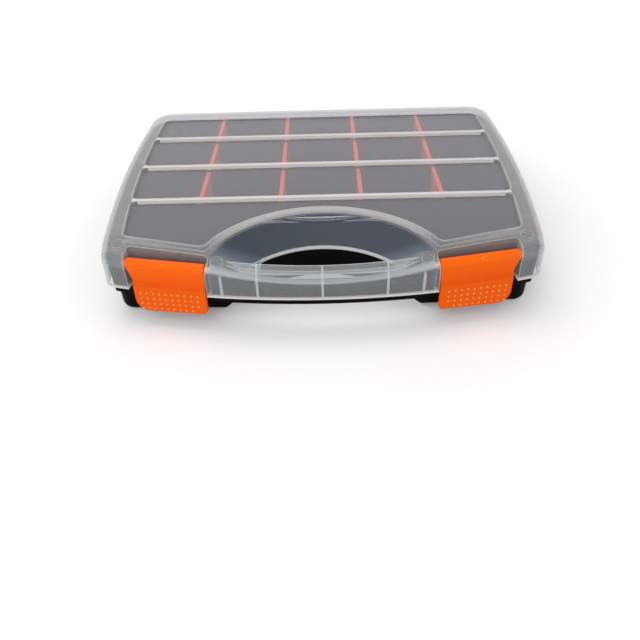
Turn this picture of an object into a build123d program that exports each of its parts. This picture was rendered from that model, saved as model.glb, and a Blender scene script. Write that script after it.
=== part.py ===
from build123d import *
import os
from math import cos, radians, sin, sqrt, tan

os.makedirs("parts", exist_ok=True)

# Sorting box with a hinged see-through lid. Millimetres, +Z up, floor at Z 0,
# the handle towards -Y and the hinges towards +Y.

# Whole box
box_height = 56.0            # floor to the top of the lid
half_width = 158.75          # to the widest point of the lid's lower edge
lid_depth = 257.5            # back face to the front of the handle, along the lid's lower edge
side_bow = 1066.0            # radius of the bowed sides
front_bow = 539.0            # radius of the bowed front
widest_from_back = 71.0      # where the bowed sides are widest
rear_corner = 20.0
front_corner = 7.0

# Lid shell
skirt_z = 28.5               # height of the lid's lower edge
lid_wall = 1.8
skirt_draft = 3.5            # degrees
shoulder = 6.0               # rounding between the lid's top and its skirt
inner_shoulder = 2.6         # the same corner inside is cut off straight
roll_radius = 58.0           # the top rolls down to the front over this radius
roll_reach = 38.7            # from the handle's front to where the roll starts

# Windows and ridges
rear_rim = 18.1              # flat rim behind the first window
side_rim = 15.2
first_window = 43.0
ridge_width = 3.4
row_pitch = 53.9
window_step = 2.8            # the panes lie this far below the ridges
pane = 1.6
window_corner = 6.0
rear_window_corner = 10.0    # the first window's rear corners
front_window_reach = 39.1    # handle's front to the last window's outer corners
front_window_angle = 13.5    # degrees, the last window's front edges in plan

# Arch, finger dish and handle opening
arch_radius = 87.5
arch_centre_reach = -15.8    # the arch's centre lies this far in front of the handle's front
arch_ridge = 7.7
dish_floor_z = 45.0
opening_radius = 62.0
opening_top_reach = 38.0     # handle's front to the opening's back edge
handle_grip = 10.3           # thickness of the bar in front of the opening
lip_z = 42.4                 # lower edge of the lip round the opening
tab_edge_x = -40.3           # the padlock tab closes the opening's left tip
tab_thickness = 2.0
padlock_hole_radius = 2.4
padlock_hole_x = -44.6

# Ribs inside the lid
rib = 1.2
handle_rib_pitch = 42.0      # three long ribs across the handle
short_rib_x = 65.5           # one short rib beside each latch
short_rib_z = 44.0
rim_rib_from_ridge = 19.8    # ribs across the side rims, behind each ridge
front_rim_rib_reach = 58.3   # the last pair, from the handle's front
rim_rib_depth = 3.4

# Latch recesses
recess_angle = 10.5          # degrees, the recess turned to face the bowed front
recess_x = 100.25
recess_reach = 23.0          # handle's front to the middle of the recess's back wall
recess_length = 55.0
recess_corner = 2.5

# Latches
latch_side_gap = 1.0
latch_axis_depth = 6.9       # in front of the recess's back wall
latch_axis_z = 46.0
latch_roll = 3.9
latch_plate = 2.2
latch_fold_depth = 13.0      # the front face at the fold, in front of the recess's back wall
latch_fold_z = 32.2
latch_bottom_z = 13.8
latch_flare = 1.3            # the plate's lower edge stands this far in front of the fold
latch_neck = 0.9             # how far the face between roll and fold is hollowed
latch_side_taper = 3.0       # the outer edge runs in by this much above the fold
latch_taper_z = 36.5
latch_outer_corner = 8.5
latch_inner_corner = 3.0
latch_tilt = 2.3             # degrees, the fold and the lower edge against the hinge axis
trunnion_radius = 2.25
trunnion_clearance = 0.05
hook_depth = 7.8             # the nose, in front of the recess's back wall
hook_height = 3.0
hook_length = 34.0
catch_gap = 0.3              # between the hook and the tray's lip above it

# Base tray
base_inset = 4.0             # inside the lid's lower edge
base_rear_inset = 7.8        # the same at the back
base_wall = 2.0
base_floor = 2.0
base_bottom_round = 6.0
base_inner_slope = 3.5       # the same corner inside is cut off straight
foot_reach = 24.7            # handle's front to the middle of the tray's lower front wall
foot_bow = 3000.0            # radius of that wall
foot_corner = 9.0
flange_z = 22.0              # above it the tray reaches forward to the lid's front
foot_step = 0.2              # below it the tray's sides and back step in by this much
base_rim_z = 50.0
base_roll_drop = 3.6         # the tray's front rim lies this far below the lid's top
lid_clearance = 0.6
ledge_z = 27.8               # top of the ledge under each latch recess
row_wall = 1.8
arch_wall = 2.0
handle_wall = 1.8
handle_rim_z = 38.0          # the bar's walls end here, under the lid's ribs
slot_rib = 1.2
slot_rib_depth = 1.8
slot_clearance = 0.4

# Dividers
column_pitch = 60.0
columns = 4
divider_plate = 1.6
divider_bead = 3.2
divider_bead_height = 3.0
divider_tongue = 4.5
divider_taper = 4.0
divider_end_gap = 0.3
divider_low_corner = 4.2     # the lower corners clear the tray's sloped corner
divider_top_gap = 0.9        # under the panes
divider_floor_gap = 0.3

# Hinges
hinge_x = 95.0
hinge_z = 28.5
hinge_offset = 3.5           # behind the lid's back face
barrel_radius = 3.0
pin_radius = 1.25
pin_clearance = 0.05
knuckle_length = 16.0
lug_length = 10.0
knuckle_gap = 0.4

# Places that follow from the sizes
hinge_reach = hinge_offset + barrel_radius
rear_y = (lid_depth + hinge_reach) / 2 - hinge_reach
front_y = rear_y - lid_depth
widest_y = rear_y - widest_from_back
roll_y = front_y + roll_reach
hinge_y = rear_y + hinge_offset
arch_y = front_y + arch_centre_reach
opening_y = front_y + opening_top_reach - opening_radius
recess_y = front_y + recess_reach
pane_top_z = box_height - window_step
pane_under_z = pane_top_z - pane
row_wall_z = pane_under_z - lid_clearance
divider_top_z = pane_under_z - divider_top_gap
first_ridge_y = rear_y - rear_rim - first_window
ridge_ys = [first_ridge_y - ridge_width / 2 - i * row_pitch for i in range(3)]
rear_inner_y = rear_y - base_rear_inset - base_wall
base_wall_gap = lid_wall + lid_clearance
column_xs = [(i - (columns - 1) / 2) * column_pitch for i in range(columns)]
arch_top_inner = arch_radius - arch_ridge
far = 4 * half_width


def side_x(y, inset):
    """Half width of the plan outline at y."""
    return half_width - side_bow + sqrt((side_bow - inset) ** 2 - (y - widest_y) ** 2)


def outline(inset, rear_inset, front, corner):
    """Plan outline with bowed sides moved inwards by inset, and a front of its own."""
    face = Pos(0, rear_y - rear_inset - far / 2) * Rectangle(far, far)
    for side in (-1, 1):
        face &= Pos(side * (half_width - side_bow), widest_y) * Circle(side_bow - inset)
    face &= front
    corners = face.vertices().group_by(Axis.Y)
    face = fillet(corners[-1], max(rear_corner - inset, 1.5))
    return fillet(face.vertices().group_by(Axis.Y)[0], max(corner, 1.5))


def plan(inset, rear_inset=None):
    """Plan outline at the lid's lower edge, moved inwards by inset."""
    rear_inset = inset if rear_inset is None else rear_inset
    return outline(inset, rear_inset, behind_front(inset), front_corner - inset)


def foot_plan(inset):
    """Plan outline of the tray below its flange, moved inwards by inset."""
    front = behind_foot(inset)
    step = foot_step + inset
    return outline(base_inset + step, base_rear_inset + step, front, foot_corner - inset)


def behind_front(inset):
    """Plan disc that holds everything behind the bowed front, moved back by inset."""
    return Pos(0, front_y + front_bow) * Circle(front_bow - inset)


def behind_foot(inset):
    """The same for the tray's lower front wall."""
    return Pos(0, front_y + foot_reach + foot_bow) * Circle(foot_bow - inset)


def recess_plan(grow):
    """Plan of the right latch recess, grown by grow; it runs out through the front."""
    length = recess_length + 2 * grow
    reach = recess_reach + grow + 12
    box = Pos(0, grow - reach / 2) * Rectangle(length, reach)
    box = fillet(box.vertices().group_by(Axis.Y)[-1], recess_corner + grow)
    return Pos(recess_x, recess_y) * Rot(0, 0, recess_angle) * box


def both_recesses(grow, low_z, high_z):
    right = extrude(Pos(0, 0, low_z) * recess_plan(grow), high_z - low_z)
    return right + mirror(right, Plane.YZ)


def under_roll(drop):
    """Everything below the lid's top, whose front rolls down, lowered by drop."""
    radius = roll_radius - drop
    centre_z = box_height - roll_radius
    swing = radians(75)
    start = (roll_y, centre_z + radius)
    middle = (roll_y - radius * sin(swing / 2), centre_z + radius * cos(swing / 2))
    end = (roll_y - radius * sin(swing), centre_z + radius * cos(swing))
    low = -far / 4
    with BuildSketch(Plane.YZ) as side:
        with BuildLine():
            Polyline((end[0], end[1]), (end[0], low), (far, low), (far, start[1]), start)
            ThreePointArc(start, middle, end)
        make_face()
    return extrude(side.sketch, far, both=True)


def lid_form(inset, low_z):
    """Closed outer form of the lid, or of its hollow when inset is the wall."""
    low_inset = inset - (skirt_z - low_z) * tan(radians(skirt_draft))
    form = extrude(Pos(0, 0, low_z) * plan(low_inset), box_height - low_z, taper=skirt_draft)
    form &= under_roll(inset)
    top = [f for f in form.faces() if f.normal_at(f.center()).Z > 0.6]
    edges = ShapeList()
    for face in top:
        edges += [e for e in face.edges() if not on_roll_seam(e)]
    return chamfer(edges, inner_shoulder) if inset else fillet(edges, shoulder)


def on_roll_seam(edge):
    ends = [v.Y for v in edge.vertices()]
    return max(abs(y - roll_y) for y in ends) < 0.01


def lens(back_radius, back_centre_y, inset, grow):
    """Plan lens between a round back edge and the bowed front edge."""
    disc = Pos(0, back_centre_y) * Circle(back_radius + grow)
    return disc & behind_front(inset - grow)


def window_field(grow):
    """Plan of all the windows and the ridges between them, grown by grow."""
    corner_y = front_y + front_window_reach
    corner_x = side_x(corner_y, side_rim)
    slope = tan(radians(front_window_angle))
    tip_y = corner_y - corner_x * slope
    end_y = tip_y + far * slope
    field = Polygon((-far, end_y), (0, tip_y), (far, end_y), (far, rear_y - rear_rim),
                    (-far, rear_y - rear_rim), align=None)
    for side in (-1, 1):
        field &= Pos(side * (half_width - side_bow), widest_y) * Circle(side_bow - side_rim)
    if grow:
        field = offset(field, grow, kind=Kind.INTERSECTION)
    return field - Pos(0, arch_y) * Circle(arch_radius - grow)


def windows():
    field = window_field(0)
    for y in ridge_ys:
        field -= Pos(0, y) * Rectangle(far, ridge_width)
    rear = [v for v in field.vertices() if v.Y > rear_y - rear_rim - 1]
    field = fillet(rear, rear_window_corner)
    others = [v for v in field.vertices() if v.Y < first_ridge_y + 1]
    return fillet(others, window_corner)


def dish(grow):
    """Finger dish behind the handle opening, from the arch down to the opening's edge."""
    drop = box_height - dish_floor_z
    run = (arch_y + arch_top_inner) - (opening_y + opening_radius)
    over = 1.0
    high = lens(arch_top_inner + over * run / drop, arch_y, handle_grip, grow / 2)
    low = lens(opening_radius, opening_y, handle_grip, grow / 2)
    high_z = box_height + over - grow
    return loft([Pos(0, 0, high_z) * high.face(), Pos(0, 0, dish_floor_z - grow) * low.face()], ruled=True)


def opening(grow, low_z, high_z):
    face = lens(opening_radius, opening_y, handle_grip, grow)
    return extrude(Pos(0, 0, low_z) * face, high_z - low_z)


def padlock_point():
    x = padlock_hole_x
    back_y = opening_y + sqrt(opening_radius ** 2 - x ** 2)
    front_edge_y = front_y + front_bow - sqrt((front_bow - handle_grip) ** 2 - x ** 2)
    return x, (back_y + front_edge_y) / 2


def padlock_tab(top_z, thickness):
    """Flat web in the opening's left tip with the padlock hole through it."""
    web = opening(0.5, top_z - thickness, top_z)
    web &= Pos(tab_edge_x - far / 2, 0, top_z) * Box(far, far, far)
    x, y = padlock_point()
    return web - Pos(x, y, top_z) * Cylinder(padlock_hole_radius, 4 * thickness)


def latch_axis(side):
    """Middle of a latch's hinge axis in plan."""
    turn = radians(recess_angle)
    x = recess_x + latch_axis_depth * sin(turn)
    return side * x, recess_y - latch_axis_depth * cos(turn)


def handle_ribs():
    """Ribs under the handle's crest and behind its front face, clear of the base."""
    inside = lid_form(lid_wall / 2, skirt_z)
    strip = behind_front(0) - behind_front(handle_grip)
    front_strip = behind_front(0) - behind_front(base_inset - lid_clearance)
    ribs = Part()
    for i in (-1, 0, 1):
        bar = Pos(i * handle_rib_pitch, front_y) * Rectangle(rib, 4 * handle_grip)
        ribs += extrude(Pos(0, 0, handle_rim_z + lid_clearance) * (bar & strip), box_height)
        ribs += extrude(Pos(0, 0, skirt_z) * (bar & front_strip), box_height)
    for side in (-1, 1):
        bar = Pos(side * short_rib_x, front_y) * Rectangle(rib, 4 * handle_grip)
        ribs += extrude(Pos(0, 0, skirt_z) * (bar & front_strip), short_rib_z - skirt_z)
    return ribs & inside


def rim_ribs():
    """Ribs under the side rims, between the skirt and the windows."""
    strips = Sketch()
    for y in [y + rim_rib_from_ridge for y in ridge_ys] + [front_y + front_rim_rib_reach]:
        strips += Pos(0, y) * Rectangle(far, rib)
    strips -= window_field(pane / 2)
    top_z = box_height - lid_wall / 2
    ribs = extrude(Pos(0, 0, top_z - rim_rib_depth) * strips, rim_rib_depth)
    return ribs & lid_form(lid_wall / 2, skirt_z)


def lid_shell():
    form = lid_form(0, skirt_z)
    form -= both_recesses(0, skirt_z - 1, box_height + 1)
    form -= extrude(Pos(0, 0, pane_top_z) * windows(), window_step + 1)
    form -= dish(0)
    hollow = lid_form(lid_wall, skirt_z - 1)
    hollow -= both_recesses(lid_wall, skirt_z - 2, box_height + 1)
    hollow -= extrude(Pos(0, 0, pane_under_z) * window_field(pane), box_height)
    hollow -= dish(lid_wall)
    hollow -= opening(lid_wall, lip_z, dish_floor_z + 4)
    form -= hollow
    form -= opening(0, skirt_z - 1, dish_floor_z)
    form += padlock_tab(dish_floor_z, tab_thickness)
    form += handle_ribs()
    form += rim_ribs()
    form += lid_knuckles()
    for side in (-1, 1):
        form -= trunnion_bore(side)
    return form


def trunnion_bore(side):
    x, y = latch_axis(side)
    bore = Rot(0, 90, 0) * Cylinder(trunnion_radius + trunnion_clearance, recess_length + 2 * lid_wall + 2)
    return Pos(x, y, latch_axis_z) * Rot(0, 0, side * recess_angle) * bore


def barrel(x, length, radius):
    return Pos(x, hinge_y, hinge_z) * Rot(0, 90, 0) * Cylinder(radius, length)


def lid_knuckles():
    """Hinge knuckles on the lid's back face, one per station."""
    knuckles = Part()
    for x in (-hinge_x, hinge_x):
        knuckle = barrel(x, knuckle_length, barrel_radius)
        web_height = 3 * barrel_radius
        web = Polyline((rear_y - lid_wall / 2, hinge_z), (hinge_y + barrel_radius, hinge_z),
                       (rear_y - lid_wall / 2, hinge_z + web_height), close=True)
        knuckle += Pos(x) * extrude(make_face(Plane.YZ * web), knuckle_length / 2, both=True)
        knuckles += knuckle - barrel(x, knuckle_length + 2, pin_radius + pin_clearance)
    return knuckles


def base_lugs():
    """Hinge lugs on the base, one each side of every lid knuckle."""
    lugs = Part()
    face_y = rear_inner_y + base_wall / 2
    lug_x = (knuckle_length + lug_length) / 2 + knuckle_gap
    for x in (-hinge_x, hinge_x):
        for step in (-lug_x, lug_x):
            lug = barrel(x + step, lug_length, barrel_radius)
            web = Polyline((face_y, hinge_z - 1), (hinge_y, hinge_z - 1), (hinge_y, hinge_z - barrel_radius),
                           (face_y, hinge_z - 3 * barrel_radius), close=True)
            lug += Pos(x + step) * extrude(make_face(Plane.YZ * web), lug_length / 2, both=True)
            lugs += lug - barrel(x + step, lug_length + 2, pin_radius + pin_clearance)
    return lugs


def arch_disc(radius):
    return Pos(0, arch_y) * Circle(radius)


def tray_form():
    """Closed outer form of the tray: a foot, and above it a rim that reaches further forward."""
    foot = extrude(foot_plan(0), base_rim_z)
    foot = fillet(foot.faces().sort_by(Axis.Z)[0].edges(), base_bottom_round)
    return foot + extrude(Pos(0, 0, flange_z) * plan(base_inset, base_rear_inset), base_rim_z - flange_z)


def foot_room(wall, low_z, high_z):
    """Room of the foot when wall is the wall, with straight slopes round the floor."""
    slope_z = low_z + base_inner_slope
    low = Pos(0, 0, low_z) * foot_plan(wall + base_inner_slope)
    high = Pos(0, 0, slope_z) * foot_plan(wall)
    return loft([low, high], ruled=True) + extrude(high, high_z - slope_z)


def base_tray():
    hole_radius = arch_radius - arch_ridge / 2 - arch_wall / 2
    recess_inner = base_wall_gap + base_wall
    tray = tray_form() & under_roll(base_roll_drop)
    tray -= both_recesses(base_wall_gap, ledge_z, box_height)

    room = extrude(Pos(0, 0, flange_z + base_wall) * plan(base_inset + base_wall, base_rear_inset + base_wall),
                   box_height)
    room -= both_recesses(recess_inner, -1, 2 * box_height)
    room += foot_room(base_wall, base_floor, ledge_z - base_wall)
    room -= extrude(Pos(0, 0, -1) * arch_disc(hole_radius + arch_wall), 2 * box_height)
    tray -= room

    tray -= ledge_hollows()
    behind_recess = both_recesses(recess_inner, -2, 2 * box_height)
    grip = arch_disc(hole_radius) & behind_front(handle_grip)
    tray -= extrude(Pos(0, 0, -1) * grip, 2 * box_height) - behind_recess
    bar = arch_disc(hole_radius) & behind_front(base_inset / 2)
    tray -= extrude(Pos(0, 0, handle_rim_z) * bar, box_height) - behind_recess
    trough = arch_disc(hole_radius) & behind_front(base_inset + handle_wall)
    trough -= behind_front(handle_grip - handle_wall)
    tray -= extrude(Pos(0, 0, flange_z + base_floor) * trough, box_height) - behind_recess

    tray += row_walls()
    tray += base_lugs()
    return tray


def ledge_hollows():
    """The ledges under the latch recesses are open from below, with a lip for the hooks."""
    inside = plan(base_inset + base_wall) & recess_plan(base_wall_gap)
    inside -= behind_foot(0)
    hollow = extrude(Pos(0, 0, -1) * inside, ledge_z - base_wall + 1)
    return hollow + mirror(hollow, Plane.YZ)


def row_walls():
    """Fixed walls between the rows, with ribs that hold the dividers' tongues."""
    walls = Sketch()
    for y in ridge_ys:
        walls += Pos(0, y) * Rectangle(far, row_wall)
    part = extrude(Pos(0, 0, base_floor / 2) * walls, row_wall_z - base_floor / 2)
    ribs = Sketch()
    for face_y, direction in slot_faces():
        for x in column_xs:
            for side in (-1, 1):
                rib_x = x + side * (divider_plate + slot_clearance + slot_rib) / 2
                rib_y = face_y + direction * (slot_rib_depth / 2 - 0.2)
                ribs += Pos(rib_x, rib_y) * Rectangle(slot_rib, slot_rib_depth + 0.4)
    part += extrude(Pos(0, 0, base_floor / 2) * ribs, divider_top_z - divider_bead_height - base_floor)
    return part & foot_room(base_wall / 2, base_floor / 2, box_height)


def slot_faces():
    """Each wall face that holds divider tongues, and the way it faces."""
    faces = [(rear_inner_y, -1)]
    for y in ridge_ys:
        faces.append((y + row_wall / 2, 1))
    for y in ridge_ys[:-1]:
        faces.append((y - row_wall / 2, -1))
    return faces


def divider(row, x):
    """Removable divider: a thin plate with tongues and a thicker top bead."""
    ends = [rear_inner_y] + [y + row_wall / 2 for y in ridge_ys]
    starts = [y - row_wall / 2 for y in ridge_ys]
    back_y = (ends[0] if row == 0 else starts[row - 1]) - divider_end_gap
    front = ends[row + 1] + divider_end_gap
    length = back_y - front
    middle = (back_y + front) / 2
    low = base_floor + divider_floor_gap
    plate = Pos(x, middle, (divider_top_z + low) / 2) * Box(divider_plate, length, divider_top_z - low)
    low_edges = plate.edges().filter_by(Axis.X).group_by(Axis.Z)[0]
    plate = chamfer(low_edges, divider_low_corner)
    half = length / 2 - divider_tongue
    thick = divider_bead / 2
    thin = divider_plate / 2
    quarter = [(thin, half), (thick, half - divider_taper)]
    right = quarter + [(px, -py) for px, py in reversed(quarter)]
    outline = Polygon(*right, *[(-px, -py) for px, py in right], align=None)
    bead = extrude(Pos(x, middle, divider_top_z - divider_bead_height) * outline, divider_bead_height)
    return plate + bead


def latch_back_depth(z):
    """Depth of the latch plate's back face, in front of the recess's back wall."""
    lean = latch_flare * (latch_fold_z - z) / (latch_fold_z - latch_bottom_z)
    return latch_fold_depth + max(lean, 0) - latch_plate


def latch(side):
    """Latch plate rolled round its trunnions, with a hook behind and a fold across it."""
    width = recess_length - 2 * latch_side_gap
    axis_y = -latch_axis_depth
    fold_y = -latch_fold_depth
    tip_z = latch_bottom_z - width * tan(radians(latch_tilt))
    tip_y = fold_y - latch_flare * (latch_fold_z - tip_z) / (latch_fold_z - latch_bottom_z)
    crest_y = axis_y - latch_roll * cos(radians(30))
    crest_z = latch_axis_z + latch_roll * sin(radians(30))
    neck = ((crest_y + fold_y) / 2 + latch_neck, (crest_z + latch_fold_z) / 2)
    back = latch_plate
    with BuildSketch(Plane.YZ) as profile:
        with BuildLine():
            Line((fold_y, latch_fold_z), (tip_y, tip_z))
            Line((tip_y, tip_z), (tip_y + back, tip_z))
            Line((tip_y + back, tip_z), (fold_y + back, latch_fold_z))
            ThreePointArc((fold_y + back, latch_fold_z), (neck[0] + back, neck[1]),
                          (crest_y + back, crest_z - back))
            Line((crest_y + back, crest_z - back), (crest_y, crest_z))
            ThreePointArc((crest_y, crest_z), neck, (fold_y, latch_fold_z))
        make_face()
    body = extrude(profile.sketch, width / 2, both=True)
    body += Pos(0, axis_y, latch_axis_z) * Rot(0, 90, 0) * Cylinder(latch_roll, width)
    hook_z = flange_z - catch_gap
    hook_root = latch_back_depth(hook_z) + latch_plate / 2
    hook = Box(hook_length, hook_root - hook_depth, hook_height)
    body += Pos(0, -(hook_root + hook_depth) / 2, hook_z - hook_height / 2) * hook
    body &= latch_front(width)
    body += Pos(0, axis_y, latch_axis_z) * Rot(0, 90, 0) * Cylinder(
        trunnion_radius, recess_length + 2 * lid_wall - 0.2)
    body = Pos(recess_x, recess_y) * Rot(0, 0, recess_angle) * body
    return body if side > 0 else mirror(body, Plane.YZ)


def latch_front(width):
    """Front view of the right latch: the outer edge runs in and the lower edge is tilted."""
    half = width / 2
    low = half - latch_side_taper
    rise = (half + low) * tan(radians(latch_tilt)) / 2
    top_z = latch_axis_z + latch_roll + 1
    shape = Polygon((-half, top_z), (-half, latch_bottom_z + rise), (low, latch_bottom_z - rise),
                    (low, latch_taper_z), (half, latch_axis_z - latch_roll / 2), (half, top_z), align=None)
    inner = shape.vertices().sort_by_distance((-half, latch_bottom_z, 0))[0]
    shape = fillet(inner, latch_inner_corner)
    outer = shape.vertices().sort_by_distance((low, latch_bottom_z - rise, 0))[0]
    shape = fillet(outer, latch_outer_corner)
    return extrude(Plane.XZ * shape, far / 4, both=True)


def hinge_pins():
    length = knuckle_length + 2 * (lug_length + knuckle_gap) - 1
    return {"left": barrel(-hinge_x, length, pin_radius), "right": barrel(hinge_x, length, pin_radius)}


def write(name, solid):
    export_step(solid, f"parts/{name}.step")


write("lid_shell", lid_shell())
write("base_tray", base_tray())
for side, name in ((-1, "latch_left"), (1, "latch_right")):
    write(name, latch(side))
for row in range(3):
    for column, x in enumerate(column_xs):
        write(f"divider_row{row + 1}_col{column + 1}", divider(row, x))
for name, pin in hinge_pins().items():
    write(f"hinge_pin_{name}", pin)
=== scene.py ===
from math import cos, radians, sin

import bmesh
import bpy
from mathutils import Matrix, Vector


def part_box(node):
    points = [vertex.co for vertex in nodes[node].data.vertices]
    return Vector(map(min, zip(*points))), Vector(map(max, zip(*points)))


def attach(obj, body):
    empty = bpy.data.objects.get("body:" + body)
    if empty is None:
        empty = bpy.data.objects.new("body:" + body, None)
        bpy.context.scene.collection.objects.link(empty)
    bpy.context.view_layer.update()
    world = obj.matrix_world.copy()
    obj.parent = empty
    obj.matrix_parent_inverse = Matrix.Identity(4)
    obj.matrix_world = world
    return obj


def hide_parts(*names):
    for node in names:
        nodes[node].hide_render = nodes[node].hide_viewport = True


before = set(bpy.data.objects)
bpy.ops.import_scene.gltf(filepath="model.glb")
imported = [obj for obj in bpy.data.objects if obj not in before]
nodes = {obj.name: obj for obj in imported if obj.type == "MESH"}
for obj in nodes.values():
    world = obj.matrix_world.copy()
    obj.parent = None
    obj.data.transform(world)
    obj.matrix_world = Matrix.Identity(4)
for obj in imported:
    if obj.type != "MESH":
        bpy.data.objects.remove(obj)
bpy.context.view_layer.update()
mm = 0.001
tiny = 0.001 * mm
plasticIor = 1.49                # polypropylene
print("frame loaded:", len(nodes), "CAD nodes")


def hexColour(code):
    channels = [int(code[i:i + 2], 16) / 255 for i in (1, 3, 5)]
    return tuple(c / 12.92 if c <= 0.04045 else ((c + 0.055) / 1.055) ** 2.4 for c in channels) + (1.0,)


white = hexColour("#ffffff")


def addNode(tree, kind, settings=None, links=None):
    # settings: node attributes by name, or socket values by name or number
    # links: input socket to the node whose first output goes there, or to any other output
    node = tree.nodes.new("ShaderNode" + kind)
    for name, value in (settings or {}).items():
        if isinstance(name, str) and hasattr(node, name):
            setattr(node, name, value)
        else:
            node.inputs[name].default_value = value
    for socket, source in (links or {}).items():
        output = source.outputs[0] if isinstance(source, bpy.types.Node) else source
        tree.links.new(output, node.inputs[socket])
    return node


def newMaterial(name):
    material = bpy.data.materials.new(name)
    material.use_nodes = True
    tree = material.node_tree
    tree.nodes.clear()
    tree.nodes.new("ShaderNodeOutputMaterial")
    return material, tree


def finishMaterial(tree, shader):
    tree.links.new(shader.outputs[0], tree.nodes["Material Output"].inputs["Surface"])


def dress(obj, material):
    obj.data.materials.clear()
    obj.data.materials.append(material)


# Black tray: polypropylene, moulded against a spark-eroded steel tool.
# That gives a dull, very fine grain, and corners that shine a little where hands rub them.
blackTray = {
    "colour": "#040405",
    "rubbed": "#08080a",
    "roughness": 0.5,
    "spread": 0.08,              # how far the roughness strays either way
    "gloss": 0.05,
    "grain": 0.7 * mm,           # spark-eroded grain, drawn coarser than real so that it shows
    "bump": 0.06,
    "bumpDepth": 0.02 * mm,
    "blotch": 30 * mm,
}


def blackPolypropylene():
    material, tree = newMaterial("polypropylene, moulded, black")
    where = addNode(tree, "TexCoord").outputs["Object"]
    grain = addNode(tree, "TexNoise", {"Scale": 1 / blackTray["grain"], "Detail": 1.0}, {"Vector": where})
    blotch = addNode(tree, "TexNoise", {"Scale": 1 / blackTray["blotch"], "Detail": 3.0}, {"Vector": where})
    colour = addNode(tree, "Mix", {"data_type": "RGBA", 6: hexColour(blackTray["colour"]),
                                   7: hexColour(blackTray["rubbed"])}, {0: blotch.outputs["Fac"]})
    rough = addNode(tree, "MapRange", {"To Min": blackTray["roughness"] - blackTray["spread"],
                                       "To Max": blackTray["roughness"] + blackTray["spread"]},
                    {"Value": blotch.outputs["Fac"]})
    bump = addNode(tree, "Bump", {"Strength": blackTray["bump"], "Distance": blackTray["bumpDepth"]},
                   {"Height": grain.outputs["Fac"]})
    shader = addNode(tree, "BsdfPrincipled", {"IOR": plasticIor, "Specular IOR Level": blackTray["gloss"]},
                     {"Base Color": colour.outputs[2], "Roughness": rough, "Normal": bump})
    finishMaterial(tree, shader)
    return material


# Lid: natural polypropylene, moulded. It is cloudy where the tool was left matt, clearer in the panes
# and clearest in the finger dish, where it was polished. Thick places such as the ridges look whiter,
# with a painted highlight on the ridges too. Corners, the edge round the handle opening and the lower edge
# carry painted highlights as thin white lines, and the handle's crest carries a painted highlight streak.
# The handle's upright face and the panes at the foot of their walls are made clearer as painted shade.
lidLook = {
    "milk": "#dad8d6",
    "whiteMilk": "#f4f0ee",      # where the plastic is thick, and on the painted highlights
    "gripMilk": "#dfe5e6",
    "paneMilk": "#dedde3",
    "dishMilk": "#b4c6df",
    "clear": "#fcfdff",
    "through": 0.3,              # share of the milky light that comes through from the far side
    "matt": 0.21,                # milkiness of one face, seen straight on; more at a glancing angle
    "pane": 0.115,
    "dish": 0.05,
    "step": 0.3,                 # small walls round the panes
    "thinnest": 0.03,            # no face is clearer than this
    "foot": -0.1,                # painted shade: added on a pane along the foot of those walls, so it looks darker there
    "ridge": 2.6,                # added on the tops of the ridges, for thick plastic and a painted highlight
    "arch": 0.4,                 # added on the arch
    "haze": 0.12,                # added at the front of the finger dish
    "lip": 1.6,                  # painted highlight, added on the edge round the handle opening
    "hemHighlight": 1.6,                  # painted highlight, added along the lid's lower edge
    "paintedStreak": 0.8,               # painted highlight, added along the crest of the handle
    "rib": 0.7,                  # added over the handle's ribs
    "grip": -0.07,               # painted shade: the handle's upright face is made a little clearer, so darker
    "line": 2.0,                 # painted highlight, added along corners
    "ring": 0.2,                 # added on the marks over the latches' bosses
    "edgeWidth": 0.9 * mm,
    "frameWidth": 2.0 * mm,      # wider along the windows' frames
    "bend": (0.97, 0.75),        # how well the rounded-off normal matches, where a line starts and is full
    "glancing": 0.12,            # past this angle the way through the plastic gets no longer
    "roughness": 0.45,
    "gloss": 0.25,
    "shine": (0.25, 0.01),       # of the clear share, at a glancing angle and straight on
    "shinePower": 5.0,
    "grain": 1.1 * mm,           # spark-eroded grain, drawn coarser than real so that it shows
    "bump": 0.12,
    "bumpDepth": 0.03 * mm,
    "level": 0.99,               # a face counts as level or upright by the height of its normal
    "upright": 0.5,
    "paneTop": 53.2 * mm,
    "paneUnder": 51.6 * mm,
    "paneBand": 0.25 * mm,
    "ridges": (62.7 * mm, 8.8 * mm, -45.1 * mm),
    "ridgeHalf": 2.0 * mm,
    "sideCentre": (-907.25 * mm, 54.5 * mm, 0.0),
    "sideReach": 1050.4 * mm,    # the windows' bowed ends
    "fade": (-104 * mm, -76 * mm),  # where the arch's whiteness starts and is full
    "archCentre": (0.0, -147.8 * mm, 0.0),
    "archMiddle": 84.9 * mm,
    "archHalf": 2.6 * mm,
    "dishRadius": 79.6 * mm,
    "dishFront": -114 * mm,
    "stepFront": -96 * mm,       # in front of it no window has a wall
    "frontCentre": (0.0, 407.0 * mm, 0.0),
    "gripReach": 528.9 * mm,     # the handle lies outside this circle
    "gripTop": 44 * mm,
    "lipTop": 45.5 * mm,
    "lipEnd": 47 * mm,
    "hemTop": 29.6 * mm,
    "hazeFrom": (-104 * mm, -114 * mm),  # where the haze starts and is full
    "paintedStreakMiddle": 41.3 * mm,    # height of the painted highlight along the handle's crest, in the middle
    "paintedStreakRise": 1.19,           # it rises by this many metres times x squared
    "paintedStreakHalf": 1.4 * mm,
    "ribs": (0.0, 42.0 * mm),    # on both sides
    "shortRib": 65.5 * mm,
    "ribHalf": 0.75 * mm,
    "bossRadius": 4.1 * mm,
    "bossLine": 0.3 * mm,
    "bosses": ((134.0 * mm, -101.5 * mm, 0.0), (67.8 * mm, -118.3 * mm, 0.0)),
}


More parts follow.
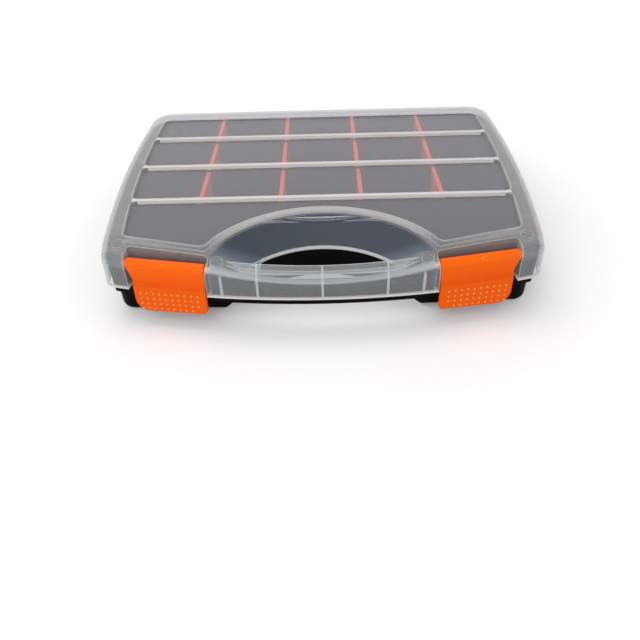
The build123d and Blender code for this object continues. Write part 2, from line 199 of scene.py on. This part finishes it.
def frostedPolypropylene():
    material, tree = newMaterial("polypropylene, moulded, natural frosted")
    look = lidLook
    where = addNode(tree, "TexCoord").outputs["Object"]
    axes = addNode(tree, "SeparateXYZ", links={0: where})
    sideways, depth, height = axes.outputs["X"], axes.outputs["Y"], axes.outputs["Z"]
    shape = addNode(tree, "NewGeometry").outputs["True Normal"]
    facing = addNode(tree, "SeparateXYZ", links={0: shape})
    level = addNode(tree, "Math", {"operation": "ABSOLUTE"}, {0: facing.outputs["Z"]})
    flat = addNode(tree, "Math", {"operation": "GREATER_THAN", 1: look["level"]}, {0: level})
    upright = addNode(tree, "Math", {"operation": "LESS_THAN", 1: look["upright"]}, {0: level})
    inPlan = addNode(tree, "VectorMath", {"operation": "MULTIPLY", 1: (1.0, 1.0, 0.0)}, {0: where})
    reach = addNode(tree, "VectorMath", {"operation": "DISTANCE", 1: look["archCentre"]},
                    {0: inPlan}).outputs["Value"]

    # panes: their upper and lower faces
    paneTop = addNode(tree, "Math", {"operation": "COMPARE", 1: look["paneTop"], 2: look["paneBand"]},
                      {0: height})
    paneUnder = addNode(tree, "Math", {"operation": "COMPARE", 1: look["paneUnder"], 2: look["paneBand"]},
                        {0: height})
    panes = addNode(tree, "Math", {"operation": "MAXIMUM"}, {0: paneTop, 1: paneUnder})
    panes = addNode(tree, "Math", {"operation": "MULTIPLY"}, {0: panes, 1: flat})

    # finger dish: inside the arch and behind the handle
    inArch = addNode(tree, "Math", {"operation": "LESS_THAN", 1: look["dishRadius"]}, {0: reach})
    behind = addNode(tree, "Math", {"operation": "GREATER_THAN", 1: look["dishFront"]}, {0: depth})
    dish = addNode(tree, "Math", {"operation": "MULTIPLY"}, {0: inArch, 1: behind})

    # steps: the small upright walls round the panes
    high = addNode(tree, "Math", {"operation": "GREATER_THAN", 1: look["paneTop"] - look["paneBand"]},
                   {0: height})
    inside = addNode(tree, "Math", {"operation": "GREATER_THAN", 1: look["stepFront"]}, {0: depth})
    steps = addNode(tree, "Math", {"operation": "MULTIPLY"}, {0: high, 1: upright})
    steps = addNode(tree, "Math", {"operation": "MULTIPLY"}, {0: steps, 1: inside})

    # ridges: their tops and small walls, whiter as thick plastic and a painted highlight; and the arch,
    # which fades where the top rolls down to the front
    aside = addNode(tree, "Math", {"operation": "ABSOLUTE"}, {0: sideways})
    folded = addNode(tree, "CombineXYZ", links={0: aside, 1: depth})
    ends = addNode(tree, "VectorMath", {"operation": "DISTANCE", 1: look["sideCentre"]},
                   {0: folded}).outputs["Value"]
    within = addNode(tree, "Math", {"operation": "LESS_THAN", 1: look["sideReach"]}, {0: ends})
    ridges = None
    for y in look["ridges"]:
        ridge = addNode(tree, "Math", {"operation": "COMPARE", 1: y, 2: look["ridgeHalf"]}, {0: depth})
        ridges = addNode(tree, "Math", {"operation": "MAXIMUM"}, {0: ridge, 1: ridges}) if ridges else ridge
    ridges = addNode(tree, "Math", {"operation": "MULTIPLY"}, {0: ridges, 1: within})
    above = addNode(tree, "Math", {"operation": "SUBTRACT", "use_clamp": True}, {0: high, 1: panes})
    ridges = addNode(tree, "Math", {"operation": "MULTIPLY"}, {0: ridges, 1: above})
    arch = addNode(tree, "Math", {"operation": "COMPARE", 1: look["archMiddle"], 2: look["archHalf"]},
                   {0: reach})
    crest = addNode(tree, "MapRange", {"From Min": look["fade"][0], "From Max": look["fade"][1]},
                    {"Value": depth})
    crest = addNode(tree, "Math", {"operation": "MULTIPLY"}, {0: crest, 1: high})
    arch = addNode(tree, "Math", {"operation": "MULTIPLY", "use_clamp": True}, {0: arch, 1: crest})

    # handle: its ribs show through as whiter bars, its upright face is made a little clearer as painted
    # shade, and a painted highlight streak runs along its crest
    front = addNode(tree, "VectorMath", {"operation": "DISTANCE", 1: look["frontCentre"]},
                    {0: inPlan}).outputs["Value"]
    grip = addNode(tree, "Math", {"operation": "GREATER_THAN", 1: look["gripReach"]}, {0: front})
    low = addNode(tree, "Math", {"operation": "LESS_THAN", 1: look["gripTop"]}, {0: height})
    ribs = addNode(tree, "Math", {"operation": "COMPARE", 1: look["shortRib"], 2: look["ribHalf"]},
                   {0: aside})
    ribs = addNode(tree, "Math", {"operation": "MULTIPLY"}, {0: ribs, 1: low})
    for x in look["ribs"]:
        rib = addNode(tree, "Math", {"operation": "COMPARE", 1: x, 2: look["ribHalf"]}, {0: aside})
        ribs = addNode(tree, "Math", {"operation": "MAXIMUM"}, {0: ribs, 1: rib})
    ribs = addNode(tree, "Math", {"operation": "MULTIPLY"}, {0: ribs, 1: grip})
    gripFaceShade = addNode(tree, "Math", {"operation": "MULTIPLY"}, {0: grip, 1: low})
    rise = addNode(tree, "Math", {"operation": "MULTIPLY"}, {0: aside, 1: aside})
    rise = addNode(tree, "Math", {"operation": "MULTIPLY_ADD", 1: look["paintedStreakRise"], 2: look["paintedStreakMiddle"]},
                   {0: rise})
    offStreak = addNode(tree, "Math", {"operation": "SUBTRACT"}, {0: height, 1: rise})
    offStreak = addNode(tree, "Math", {"operation": "ABSOLUTE"}, {0: offStreak})
    paintedStreak = addNode(tree, "MapRange", {"From Min": look["paintedStreakHalf"], "From Max": 0.0}, {"Value": offStreak})
    paintedStreak = addNode(tree, "Math", {"operation": "MULTIPLY"}, {0: paintedStreak, 1: grip})

    # painted highlights as whiter edges: round the handle opening and along the lid's lower edge; haze at
    # the front of the dish
    edge = addNode(tree, "Math", {"operation": "LESS_THAN", 1: look["lipTop"]}, {0: height})
    near = addNode(tree, "Math", {"operation": "LESS_THAN", 1: look["lipEnd"]}, {0: aside})
    lip = addNode(tree, "Math", {"operation": "MULTIPLY"}, {0: edge, 1: near})
    lip = addNode(tree, "Math", {"operation": "MULTIPLY"}, {0: lip, 1: upright})
    lip = addNode(tree, "Math", {"operation": "MULTIPLY"}, {0: lip, 1: dish})
    hemHighlight = addNode(tree, "Math", {"operation": "LESS_THAN", 1: look["hemTop"]}, {0: height})
    haze = addNode(tree, "MapRange", {"From Min": look["hazeFrom"][0], "From Max": look["hazeFrom"][1]},
                   {"Value": depth})
    haze = addNode(tree, "Math", {"operation": "MULTIPLY"}, {0: haze, 1: dish})

    # corners, as painted highlight lines: where the rounded-off normal leaves the flat one, but neither at
    # the foot of the small walls nor from inside the plastic, where the two normals point opposite ways; on
    # the panes at that foot, painted shade instead
    framed = addNode(tree, "Math", {"operation": "MULTIPLY"}, {0: high, 1: inside})
    width = addNode(tree, "MapRange", {"To Min": look["edgeWidth"], "To Max": look["frameWidth"]},
                    {"Value": framed})
    rounded = addNode(tree, "Bevel", {"samples": 4}, {"Radius": width})
    match = addNode(tree, "VectorMath", {"operation": "DOT_PRODUCT"},
                    {0: rounded, 1: shape}).outputs["Value"]
    bends = addNode(tree, "MapRange", {"From Min": look["bend"][0], "From Max": look["bend"][1]},
                    {"Value": match})
    foot = addNode(tree, "Math", {"operation": "MULTIPLY"}, {0: bends, 1: panes})
    hidden = addNode(tree, "NewGeometry").outputs["Backfacing"]
    plain = addNode(tree, "Math", {"operation": "MAXIMUM"}, {0: panes, 1: steps})
    plain = addNode(tree, "Math", {"operation": "MAXIMUM"}, {0: plain, 1: hidden})
    lines = addNode(tree, "Math", {"operation": "SUBTRACT", "use_clamp": True}, {0: bends, 1: plain})

    # thin rings over the bosses on both sides
    rings = None
    for place in look["bosses"]:
        away = addNode(tree, "VectorMath", {"operation": "DISTANCE", 1: place}, {0: folded}).outputs["Value"]
        ring = addNode(tree, "Math", {"operation": "COMPARE", 1: look["bossRadius"], 2: look["bossLine"]},
                       {0: away})
        rings = addNode(tree, "Math", {"operation": "MAXIMUM"}, {0: ring, 1: rings}) if rings else ring

    # milkiness of one face, added up over the zones
    matt = look["matt"]
    milky = addNode(tree, "Math", {"operation": "MULTIPLY_ADD", 1: look["pane"] - matt, 2: matt}, {0: panes})
    zones = ((dish, look["dish"] - matt), (steps, look["step"] - matt), (ridges, look["ridge"]),
             (arch, look["arch"]), (ribs, look["rib"]), (gripFaceShade, look["grip"]), (lines, look["line"]),
             (rings, look["ring"]), (foot, look["foot"]), (paintedStreak, look["paintedStreak"]), (lip, look["lip"]),
             (hemHighlight, look["hemHighlight"]), (haze, look["haze"]))
    for zone, change in zones:
        milky = addNode(tree, "Math", {"operation": "MULTIPLY_ADD", 1: change}, {0: zone, 2: milky})
    milky = addNode(tree, "Math", {"operation": "MAXIMUM", 1: look["thinnest"]}, {0: milky})

    # slanted light crosses more plastic
    glance = addNode(tree, "LayerWeight", {"Blend": 0.5}).outputs["Facing"]
    square = addNode(tree, "Math", {"operation": "SUBTRACT", 0: 1.0}, {1: glance})
    square = addNode(tree, "Math", {"operation": "MAXIMUM", 1: look["glancing"]}, {0: square})
    path = addNode(tree, "Math", {"operation": "DIVIDE"}, {0: milky, 1: square})
    path = addNode(tree, "Math", {"operation": "MULTIPLY", 1: -1.0}, {0: path})
    left = addNode(tree, "Math", {"operation": "EXPONENT"}, {0: path})
    cover = addNode(tree, "Math", {"operation": "SUBTRACT", 0: 1.0}, {1: left})

    # warm milk, cooler in the handle, bluish in the dish, and white where the plastic is thick and on the
    # painted highlights
    colour = addNode(tree, "Mix", {"data_type": "RGBA", 6: hexColour(look["milk"]),
                                   7: hexColour(look["paneMilk"])}, {0: panes})
    colour = addNode(tree, "Mix", {"data_type": "RGBA", 7: hexColour(look["gripMilk"])},
                     {0: grip, 6: colour.outputs[2]})
    highlitEdges = addNode(tree, "Math", {"operation": "MAXIMUM"}, {0: lines, 1: lip})
    thickAndHighlights = addNode(tree, "Math", {"operation": "MAXIMUM"}, {0: highlitEdges, 1: ridges})
    thickAndHighlights = addNode(tree, "Math", {"operation": "MAXIMUM"}, {0: thickAndHighlights, 1: hemHighlight})
    colour = addNode(tree, "Mix", {"data_type": "RGBA", 7: hexColour(look["whiteMilk"])},
                     {0: thickAndHighlights, 6: colour.outputs[2]})
    blue = addNode(tree, "Math", {"operation": "SUBTRACT", "use_clamp": True}, {0: dish, 1: highlitEdges})
    colour = addNode(tree, "Mix", {"data_type": "RGBA", 7: hexColour(look["dishMilk"])},
                     {0: blue, 6: colour.outputs[2]})

    # matt outside the polished places; the milk scatters, and what is clear shines a little
    polished = addNode(tree, "Math", {"operation": "MAXIMUM"}, {0: panes, 1: dish})
    grain = addNode(tree, "TexNoise", {"Scale": 1 / look["grain"], "Detail": 2.0}, {"Vector": where})
    strength = addNode(tree, "MapRange", {"To Min": look["bump"], "To Max": 0.0}, {"Value": polished})
    bump = addNode(tree, "Bump", {"Distance": look["bumpDepth"]},
                   {"Strength": strength, "Height": grain.outputs["Fac"]})
    face = addNode(tree, "BsdfPrincipled", {"IOR": plasticIor, "Roughness": look["roughness"],
                                            "Specular IOR Level": look["gloss"]},
                   {"Base Color": colour.outputs[2], "Normal": bump})
    through = addNode(tree, "BsdfTranslucent", links={"Color": colour.outputs[2]})
    milk = addNode(tree, "MixShader", {0: look["through"]}, {1: face, 2: through})
    steep = addNode(tree, "Math", {"operation": "POWER", 1: look["shinePower"]}, {0: glance})
    shine = addNode(tree, "Math", {"operation": "MULTIPLY_ADD", 1: look["shine"][0], 2: look["shine"][1]},
                    {0: steep})
    glass = addNode(tree, "BsdfTransparent", {"Color": hexColour(look["clear"])})
    gloss = addNode(tree, "BsdfGlossy", {"Color": white, "Roughness": look["roughness"]}, {"Normal": bump})
    sheet = addNode(tree, "MixShader", links={0: shine, 1: glass, 2: gloss})
    shader = addNode(tree, "MixShader", links={0: cover, 1: sheet, 2: milk})
    finishMaterial(tree, shader)
    return material


# Dividers: polypropylene, moulded, coloured through. That gives a satin face that a little light sinks into,
# and a colour that strays slightly over the piece.
orangeLook = {
    "colour": "#ff6a06",
    "deep": "#f65c02",
    "roughness": 0.4,
    "gloss": 0.12,
    "sink": 0.1,                 # share of the light that sinks in, and how far
    "sinkDepth": 1.0 * mm,
    "grain": 0.7 * mm,           # spark-eroded grain, drawn coarser than real so that it shows
    "bump": 0.15,
    "bumpDepth": 0.03 * mm,
    "blotch": 14 * mm,
}


def orangePolypropylene():
    material, tree = newMaterial("polypropylene, moulded, orange")
    where = addNode(tree, "TexCoord").outputs["Object"]
    grain = addNode(tree, "TexNoise", {"Scale": 1 / orangeLook["grain"], "Detail": 1.0}, {"Vector": where})
    blotch = addNode(tree, "TexNoise", {"Scale": 1 / orangeLook["blotch"], "Detail": 2.0}, {"Vector": where})
    colour = addNode(tree, "Mix", {"data_type": "RGBA", 6: hexColour(orangeLook["deep"]),
                                   7: hexColour(orangeLook["colour"])}, {0: blotch.outputs["Fac"]})
    bump = addNode(tree, "Bump", {"Strength": orangeLook["bump"], "Distance": orangeLook["bumpDepth"]},
                   {"Height": grain.outputs["Fac"]})
    shader = addNode(tree, "BsdfPrincipled", {"IOR": plasticIor, "Roughness": orangeLook["roughness"],
                                              "Specular IOR Level": orangeLook["gloss"],
                                              "Subsurface Weight": orangeLook["sink"],
                                              "Subsurface Scale": orangeLook["sinkDepth"]},
                     {"Base Color": colour.outputs[2], "Normal": bump})
    finishMaterial(tree, shader)
    return material


# Latches: the same plastic. The face above the fold was polished in the tool, and the grip below it was left
# matt.
# Painted shade makes the face above the fold deeper, painted light makes the grip below it paler, and a
# painted highlight makes the roll at the top paler still. The dots and the gate mark, rubbed, are palest,
# with a painted highlight.
latchLook = {
    # painted shade: the face above the fold, deeper
    "polished": "#ea5600",
    # painted light: the grip below the fold, paler
    "grip": "#f05f02",
    # painted highlight on the roll
    "roll": "#ff6a08",
    # rubbed pale, with a painted highlight
    "dots": "#ffa263",
    "rubbed": (0.2, 0.5),        # of the blotches, where rubbing starts and is full
    "gripTop": 32.2 * mm,
    # heights where the roll's painted highlight starts and is full
    "rollLow": 34.0 * mm,
    "rollHigh": 47.0 * mm,
    "shinyRoughness": 0.3,
    "mattRoughness": 0.55,
    "gloss": 0.1,
    "dotGloss": 0.4,
    "grain": 0.6 * mm,           # drawn coarser than real, as above
}


def latchPolypropylene():
    material, tree = newMaterial("polypropylene, moulded, orange, polished above a matt grip")
    where = addNode(tree, "TexCoord").outputs["Object"]
    height = addNode(tree, "SeparateXYZ", links={0: where}).outputs["Z"]
    grip = addNode(tree, "Math", {"operation": "LESS_THAN", 1: latchLook["gripTop"]}, {0: height})
    roll = addNode(tree, "MapRange", {"From Min": latchLook["rollLow"], "From Max": latchLook["rollHigh"]},
                   {"Value": height})
    grain = addNode(tree, "TexNoise", {"Scale": 1 / latchLook["grain"], "Detail": 1.0}, {"Vector": where})
    # painted shade above the fold, a painted highlight on the roll, painted light on the grip
    colour = addNode(tree, "Mix", {"data_type": "RGBA", 6: hexColour(latchLook["polished"]),
                                   7: hexColour(latchLook["roll"])}, {0: roll})
    colour = addNode(tree, "Mix", {"data_type": "RGBA", 7: hexColour(latchLook["grip"])},
                     {0: grip, 6: colour.outputs[2]})
    rough = addNode(tree, "MapRange", {"To Min": latchLook["shinyRoughness"],
                                       "To Max": latchLook["mattRoughness"]}, {"Value": grip})
    bump = addNode(tree, "Bump", {"Distance": orangeLook["bumpDepth"]},
                   {"Strength": grip, "Height": grain.outputs["Fac"]})
    shader = addNode(tree, "BsdfPrincipled", {"IOR": plasticIor, "Specular IOR Level": latchLook["gloss"],
                                              "Subsurface Weight": orangeLook["sink"],
                                              "Subsurface Scale": orangeLook["sinkDepth"]},
                     {"Base Color": colour.outputs[2], "Roughness": rough, "Normal": bump})
    finishMaterial(tree, shader)
    return material


# pale dots: rubbed at random, and a painted highlight
def dotPolypropylene():
    material, tree = newMaterial("polypropylene, moulded, orange, rubbed pale")
    where = addNode(tree, "TexCoord").outputs["Object"]
    wear = addNode(tree, "TexNoise", {"Scale": 1 / orangeLook["blotch"], "Detail": 2.0}, {"Vector": where})
    rubbed = addNode(tree, "MapRange", {"From Min": latchLook["rubbed"][0],
                                        "From Max": latchLook["rubbed"][1]}, {"Value": wear.outputs["Fac"]})
    colour = addNode(tree, "Mix", {"data_type": "RGBA", 6: hexColour(latchLook["grip"]),
                                   7: hexColour(latchLook["dots"])}, {0: rubbed})
    shader = addNode(tree, "BsdfPrincipled", {"IOR": plasticIor, "Roughness": latchLook["shinyRoughness"],
                                              "Specular IOR Level": latchLook["dotGloss"]},
                     {"Base Color": colour.outputs[2]})
    finishMaterial(tree, shader)
    return material


# Hinge pins: drawn steel wire, with fine lines along the pull
pinLook = {
    "colour": "#b8b8ba",
    "roughness": (0.22, 0.42),
    "line": 0.15 * mm,
    "stretch": 0.02,             # the lines run along the pin
}


def drawnSteel():
    material, tree = newMaterial("steel, drawn wire")
    where = addNode(tree, "TexCoord").outputs["Object"]
    along = addNode(tree, "Mapping", {"Scale": (pinLook["stretch"], 1.0, 1.0)}, {"Vector": where})
    lines = addNode(tree, "TexNoise", {"Scale": 1 / pinLook["line"], "Detail": 2.0}, {"Vector": along})
    rough = addNode(tree, "MapRange", {"To Min": pinLook["roughness"][0], "To Max": pinLook["roughness"][1]},
                    {"Value": lines.outputs["Fac"]})
    shader = addNode(tree, "BsdfPrincipled", {"Base Color": hexColour(pinLook["colour"]), "Metallic": 1.0},
                     {"Roughness": rough})
    finishMaterial(tree, shader)
    return material


black = blackPolypropylene()
frosted = frostedPolypropylene()
orange = orangePolypropylene()
latchOrange = latchPolypropylene()
dotOrange = dotPolypropylene()
steel = drawnSteel()
for name, node in nodes.items():
    if name == "base_tray":
        dress(node, black)
    elif name == "lid_shell":
        dress(node, frosted)
    elif name.startswith("hinge_pin"):
        dress(node, steel)
    elif name.startswith("latch"):
        dress(node, latchOrange)
    else:
        dress(node, orange)
print("CAD nodes dressed")

# Grip dots on each latch's lower face, and the gate mark on its roll, measured in the latch's own plane:
# u runs outwards along the hinge, z is height, and depth is forward of the recess's back wall
latchGrip = {
    "recessMiddle": (100.25 * mm, -109.0 * mm),
    "recessAngle": 10.5,         # degrees
    "pitch": 4.42 * mm,
    "outermost": 19.2 * mm,
    "rows": (10, 10, 10, 9),
    "topRow": 27.6 * mm,
    "rowPitch": 3.9 * mm,
    "rowTilt": 1.6,              # degrees
    "foldZ": 32.2 * mm,
    "foldDepth": 13.0 * mm,
    "flare": 1.3 / 18.4,         # how fast the lower face comes forward
    "radius": 0.7 * mm,
    "proud": 0.5 * mm,
    "domeSides": 12,
    "domeRings": 6,
    "gateU": 0.8 * mm,
    "gateRadius": 0.7 * mm,
    "gateSwing": 45,             # degrees forward of the roll's top
    "axisDepth": 6.9 * mm,
    "axisZ": 46.0 * mm,
    "rollRadius": 3.9 * mm,
}


def latchPoint(u, depth, z):
    turn = radians(latchGrip["recessAngle"])
    midX, midY = latchGrip["recessMiddle"]
    return Vector((midX + u * cos(turn) + depth * sin(turn), midY + u * sin(turn) - depth * cos(turn), z))


def addDome(bm, place, facing, radius, proud):
    turn = facing.to_track_quat("Z", "Y").to_matrix().to_4x4()
    shape = Matrix.Translation(place) @ turn @ Matrix.Diagonal((radius, radius, proud, 1.0))
    bmesh.ops.create_uvsphere(bm, u_segments=latchGrip["domeSides"], v_segments=latchGrip["domeRings"],
                              radius=1.0, matrix=shape)


def gripDots(side):
    bm = bmesh.new()
    across = latchPoint(1, 0, 0) - latchPoint(0, 0, 0)
    down = latchPoint(0, latchGrip["flare"], -1) - latchPoint(0, 0, 0)
    facing = down.cross(across).normalized()
    for row, count in enumerate(latchGrip["rows"]):
        for i in range(count):
            u = latchGrip["outermost"] - i * latchGrip["pitch"]
            z = latchGrip["topRow"] - row * latchGrip["rowPitch"] - u * sin(radians(latchGrip["rowTilt"]))
            depth = latchGrip["foldDepth"] + latchGrip["flare"] * (latchGrip["foldZ"] - z)
            addDome(bm, latchPoint(u, depth, z), facing, latchGrip["radius"], latchGrip["proud"])
    swing = radians(latchGrip["gateSwing"])
    reach = latchGrip["rollRadius"]
    gateDepth = latchGrip["axisDepth"] + reach * sin(swing)
    gate = latchPoint(latchGrip["gateU"], gateDepth, latchGrip["axisZ"] + reach * cos(swing))
    addDome(bm, gate, Vector((0, -1, 1)), latchGrip["gateRadius"], latchGrip["proud"])
    if side == "left":           # the mirror image turns the faces inside out, so they are turned back
        bmesh.ops.scale(bm, vec=(-1, 1, 1), verts=bm.verts)
        bmesh.ops.reverse_faces(bm, faces=bm.faces)
    mesh = bpy.data.meshes.new("grip_dots_" + side)
    bm.to_mesh(mesh)
    bm.free()
    mesh.shade_smooth()
    dots = bpy.data.objects.new("grip_dots_" + side, mesh)
    bpy.context.scene.collection.objects.link(dots)
    dress(dots, dotOrange)
    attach(dots, "latch_" + side)


gripDots("left")
gripDots("right")
print("grip dots made")

# Dividers: a plate whose tongues sit in the slots, and on it a bead that narrows to a neck before each
# tongue. Stations run from a tongue's end to the bead's middle: distance from the end, and half width.
dividerShape = {
    "plate": 1.6 * mm,
    "lowCorner": 4.2 * mm,
    "beadHeight": 3.0 * mm,
    "beadSink": 0.2 * mm,        # the plate ends this far inside the bead
    "stations": ((0.15 * mm, 1.3 * mm), (2.6 * mm, 1.45 * mm), (3.6 * mm, 0.95 * mm), (4.6 * mm, 0.95 * mm),
                 (6.6 * mm, 1.4 * mm), (9.5 * mm, 1.6 * mm)),
    "edge": 0.3 * mm,
    "edgeSteps": 2,
}


def addDivider(name):
    low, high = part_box(name)
    middle = (Vector(low) + Vector(high)) / 2
    length = high[1] - low[1]
    beadLow = high[2] - dividerShape["beadHeight"]
    plateTop = beadLow + dividerShape["beadSink"]
    bm = bmesh.new()
    size = (dividerShape["plate"], length, plateTop - low[2], 1.0)
    place = Vector((middle.x, middle.y, (plateTop + low[2]) / 2))
    bmesh.ops.create_cube(bm, size=1.0, matrix=Matrix.Translation(place) @ Matrix.Diagonal(size))
    corners = [e for e in bm.edges if max(v.co.z for v in e.verts) < low[2] + tiny
               and abs(e.verts[0].co.y - e.verts[1].co.y) < tiny]
    bmesh.ops.bevel(bm, geom=corners, offset=dividerShape["lowCorner"], segments=1, profile=0.5,
                    affect="EDGES", material=-1)

    stations = [(low[1] + reach, half) for reach, half in dividerShape["stations"]]
    stations += [(high[1] - reach, half) for reach, half in reversed(dividerShape["stations"])]
    firstY, firstHalf = stations[0]
    facingEnd = Matrix.Translation((middle.x, firstY, beadLow + dividerShape["beadHeight"] / 2))
    facingEnd = facingEnd @ Matrix.Rotation(radians(90), 4, "X")
    facingEnd = facingEnd @ Matrix.Diagonal((2 * firstHalf, dividerShape["beadHeight"], 1.0, 1.0))
    end = bmesh.ops.create_grid(bm, x_segments=1, y_segments=1, size=0.5, matrix=facingEnd)
    cap = end["verts"][0].link_faces[0]
    y, half = firstY, firstHalf
    for nextY, nextHalf in stations[1:]:
        grown = bmesh.ops.extrude_face_region(bm, geom=[cap])["geom"]
        cap = [g for g in grown if isinstance(g, bmesh.types.BMFace)][0]
        verts = list(cap.verts)
        bmesh.ops.translate(bm, vec=(0, nextY - y, 0), verts=verts)
        bmesh.ops.scale(bm, vec=(nextHalf / half, 1, 1), verts=verts,
                        space=Matrix.Translation((-middle.x, 0, 0)))
        y, half = nextY, nextHalf
    top = [e for e in bm.edges if min(v.co.z for v in e.verts) > high[2] - tiny
           and abs(e.verts[0].co.y - e.verts[1].co.y) > tiny]
    bmesh.ops.bevel(bm, geom=top, offset=dividerShape["edge"], segments=dividerShape["edgeSteps"],
                    profile=0.5, affect="EDGES", material=-1)
    bmesh.ops.recalc_face_normals(bm, faces=bm.faces)
    mesh = bpy.data.meshes.new(name + "_plate")
    bm.to_mesh(mesh)
    bm.free()
    piece = bpy.data.objects.new(name + "_plate", mesh)
    bpy.context.scene.collection.objects.link(piece)
    dress(piece, orange)
    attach(piece, "base")
    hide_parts(name)


for name in [n for n in nodes if n.startswith("divider")]:
    addDivider(name)
print("dividers made")

# Studio: plain pale floor, white surroundings for what the camera and glossy plastic see
studio = {
    "floorSize": 6.0,
    "floorColour": "#f4f4f3",
    "fibre": 2 * mm,
    "fibreBump": 0.05,
    "fibreDepth": 0.1 * mm,
    "glowNear": (0.2, 0.12),     # metres from the middle, and how much white the camera sees there
    "glowFar": (0.45, 0.45),     # besides the lamps' light
    "worldLevel": 0.6,
    "keyPower": 4.5,
    "keyPlace": (-0.25, 0.15, 1.25),
    "keySize": 0.9,
    "fillPower": 5.0,
    "fillPlace": (-0.3, -1.0, 0.8),
    "fillSize": 1.0,
}


def floorMaterial():
    material, tree = newMaterial("paper floor, matt white")
    where = addNode(tree, "TexCoord").outputs["Object"]
    fibre = addNode(tree, "TexNoise", {"Scale": 1 / studio["fibre"]}, {"Vector": where})
    bump = addNode(tree, "Bump", {"Strength": studio["fibreBump"], "Distance": studio["fibreDepth"]},
                   {"Height": fibre.outputs["Fac"]})
    paper = addNode(tree, "BsdfDiffuse", {"Color": hexColour(studio["floorColour"])}, {"Normal": bump})
    away = addNode(tree, "VectorMath", {"operation": "LENGTH"}, {0: where}).outputs["Value"]
    glow = addNode(tree, "MapRange", {"From Min": studio["glowNear"][0], "To Min": studio["glowNear"][1],
                                      "From Max": studio["glowFar"][0], "To Max": studio["glowFar"][1]},
                   {"Value": away})
    lift = addNode(tree, "Emission", {"Color": white}, {"Strength": glow})
    both = addNode(tree, "AddShader", links={0: paper, 1: lift})
    seen = addNode(tree, "LightPath")
    ray = addNode(tree, "Math", {"operation": "MAXIMUM"},
                  {0: seen.outputs["Is Camera Ray"], 1: seen.outputs["Is Glossy Ray"]})
    ray = addNode(tree, "Math", {"operation": "MAXIMUM"}, {0: ray, 1: seen.outputs["Is Transmission Ray"]})
    shader = addNode(tree, "MixShader", links={0: ray, 1: paper, 2: both})
    finishMaterial(tree, shader)
    return material


def makeFloor():
    mesh = bpy.data.meshes.new("floor")
    bm = bmesh.new()
    bmesh.ops.create_grid(bm, x_segments=1, y_segments=1, size=studio["floorSize"] / 2)
    bm.to_mesh(mesh)
    bm.free()
    floor = bpy.data.objects.new("floor", mesh)
    bpy.context.scene.collection.objects.link(floor)
    dress(floor, floorMaterial())


def makeWorld():
    world = bpy.data.worlds.new("studio")
    bpy.context.scene.world = world
    world.use_nodes = True
    tree = world.node_tree
    tree.nodes.clear()
    output = tree.nodes.new("ShaderNodeOutputWorld")
    light = addNode(tree, "Background", {"Color": white, "Strength": studio["worldLevel"]})
    shown = addNode(tree, "Background", {"Color": white, "Strength": 1.0})
    seen = addNode(tree, "LightPath")
    ray = addNode(tree, "Math", {"operation": "MAXIMUM"},
                  {0: seen.outputs["Is Camera Ray"], 1: seen.outputs["Is Glossy Ray"]})
    ray = addNode(tree, "Math", {"operation": "MAXIMUM"}, {0: ray, 1: seen.outputs["Is Transmission Ray"]})
    mixed = addNode(tree, "MixShader", links={0: ray, 1: light, 2: shown})
    tree.links.new(mixed.outputs[0], output.inputs["Surface"])


def makeLamp(name, place, size, power):
    lamp = bpy.data.lights.new(name, "AREA")
    lamp.shape = "SQUARE"
    lamp.size = size
    lamp.energy = power
    obj = bpy.data.objects.new(name, lamp)
    obj.location = place
    obj.rotation_euler = (Vector((0, 0, 0)) - Vector(place)).to_track_quat("-Z", "Y").to_euler()
    bpy.context.scene.collection.objects.link(obj)


makeFloor()
makeWorld()
makeLamp("key", studio["keyPlace"], studio["keySize"], studio["keyPower"])
makeLamp("fill", studio["fillPlace"], studio["fillSize"], studio["fillPower"])
print("studio built")

# Camera, fitted to the photograph: where it stands and how it looks down on the box
view = {
    "place": (1.46 * mm, -420.89 * mm, 261.57 * mm),
    "lookDown": 40.882,          # degrees
    "turn": 0.747,
    "tilt": -1.735,
    "lens": 32.34,
    "sensor": 36,
    "nearest": 10 * mm,
}
cameraData = bpy.data.cameras.new("camera")
cameraData.lens = view["lens"]
cameraData.sensor_width = view["sensor"]
cameraData.clip_start = view["nearest"]
camera = bpy.data.objects.new("camera", cameraData)
camera.matrix_world = (Matrix.Translation(view["place"])
                       @ Matrix.Rotation(radians(view["turn"]), 4, "Z")
                       @ Matrix.Rotation(radians(90 - view["lookDown"]), 4, "X")
                       @ Matrix.Rotation(radians(view["tilt"]), 4, "Z"))
bpy.context.scene.collection.objects.link(camera)
bpy.context.scene.camera = camera
bpy.context.scene.view_settings.view_transform = "Standard"
print("camera placed")
